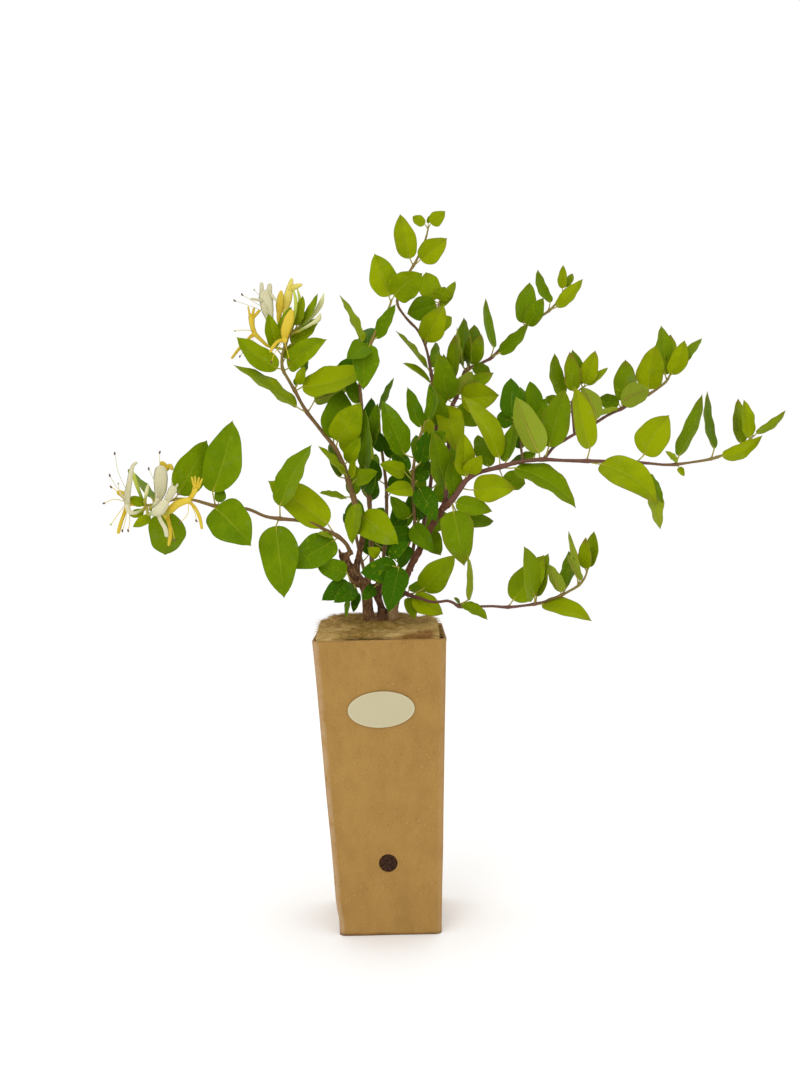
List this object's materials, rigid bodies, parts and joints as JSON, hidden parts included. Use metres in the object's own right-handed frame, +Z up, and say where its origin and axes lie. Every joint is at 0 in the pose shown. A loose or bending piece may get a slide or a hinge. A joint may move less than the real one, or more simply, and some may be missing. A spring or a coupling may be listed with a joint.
{
  "type": "potted honeysuckle vine",
  "caption": "Young climbing honeysuckle with paired leaves and white and yellow two-lipped flowers, growing from a tapered plain card carton topped with fibre fleece.",
  "frame": {"origin": "middle of the carton's foot, on the surface it stands on", "axes": "+Z up, -Y toward the side with the label and the drain hole, +X to the right as that side is seen"},
  "size_m": [0.498, 0.2117, 0.56],
  "materials": {
    "kraft_board": "matte, plain brown, small flecks",
    "label_paper": "matte cream sticker, left bare",
    "peat": "matte, crumbly",
    "fleece": "matte, fuzzy fibre",
    "bark": "matte, flaky",
    "leaf": "satin, waxy upper side",
    "shaded_leaf": "satin, waxy upper side",
    "white_petal": "soft matte",
    "yellow_petal": "soft matte",
    "pale_petal": "soft matte",
    "pale_bud": "soft matte",
    "green_bud": "soft matte"
  },
  "bodies": {
    "root": {"carton": "kraft_board", "label": "label_paper", "root_ball": "peat", "mulch_fleece": "fleece", "woody_base": "bark", "leafy_stem_left": "leaf", "leafy_stem_upper_left": "leaf", "leafy_stem_middle": "leaf", "leafy_stem_top": "leaf", "leafy_stem_upper_right": "leaf", "leafy_stem_long_right": "leaf", "leafy_stem_right_shoot": "leaf", "leafy_stem_right": "leaf", "leafy_stem_low_right": "leaf", "leafy_stem_centre_right": "leaf", "leafy_stem_centre": "shaded_leaf", "basal_shoot_left": "shaded_leaf", "basal_shoot_front": "shaded_leaf", "leafy_stem_rear_left": "shaded_leaf", "leafy_stem_rear_right": "shaded_leaf", "bloom_white_broad": "white_petal", "bloom_white_front": "white_petal", "bloom_yellow_front": "yellow_petal", "bloom_yellow_rear": "yellow_petal", "bloom_white_left": "white_petal", "bloom_yellow_left": "yellow_petal", "bloom_yellow_lower": "yellow_petal", "bud_green_left": "green_bud", "bud_cream_left": "pale_bud", "bloom_white_upper": "white_petal", "bloom_yellow_upper": "yellow_petal", "bloom_pale_upper": "pale_petal", "bloom_yellow_fore": "yellow_petal", "bloom_yellow_side": "yellow_petal", "bud_pale_upper": "pale_bud", "bud_white_upper": "pale_bud", "bud_green_upper": "green_bud", "bud_green_rear": "green_bud"}
  },
  "joints": []
}
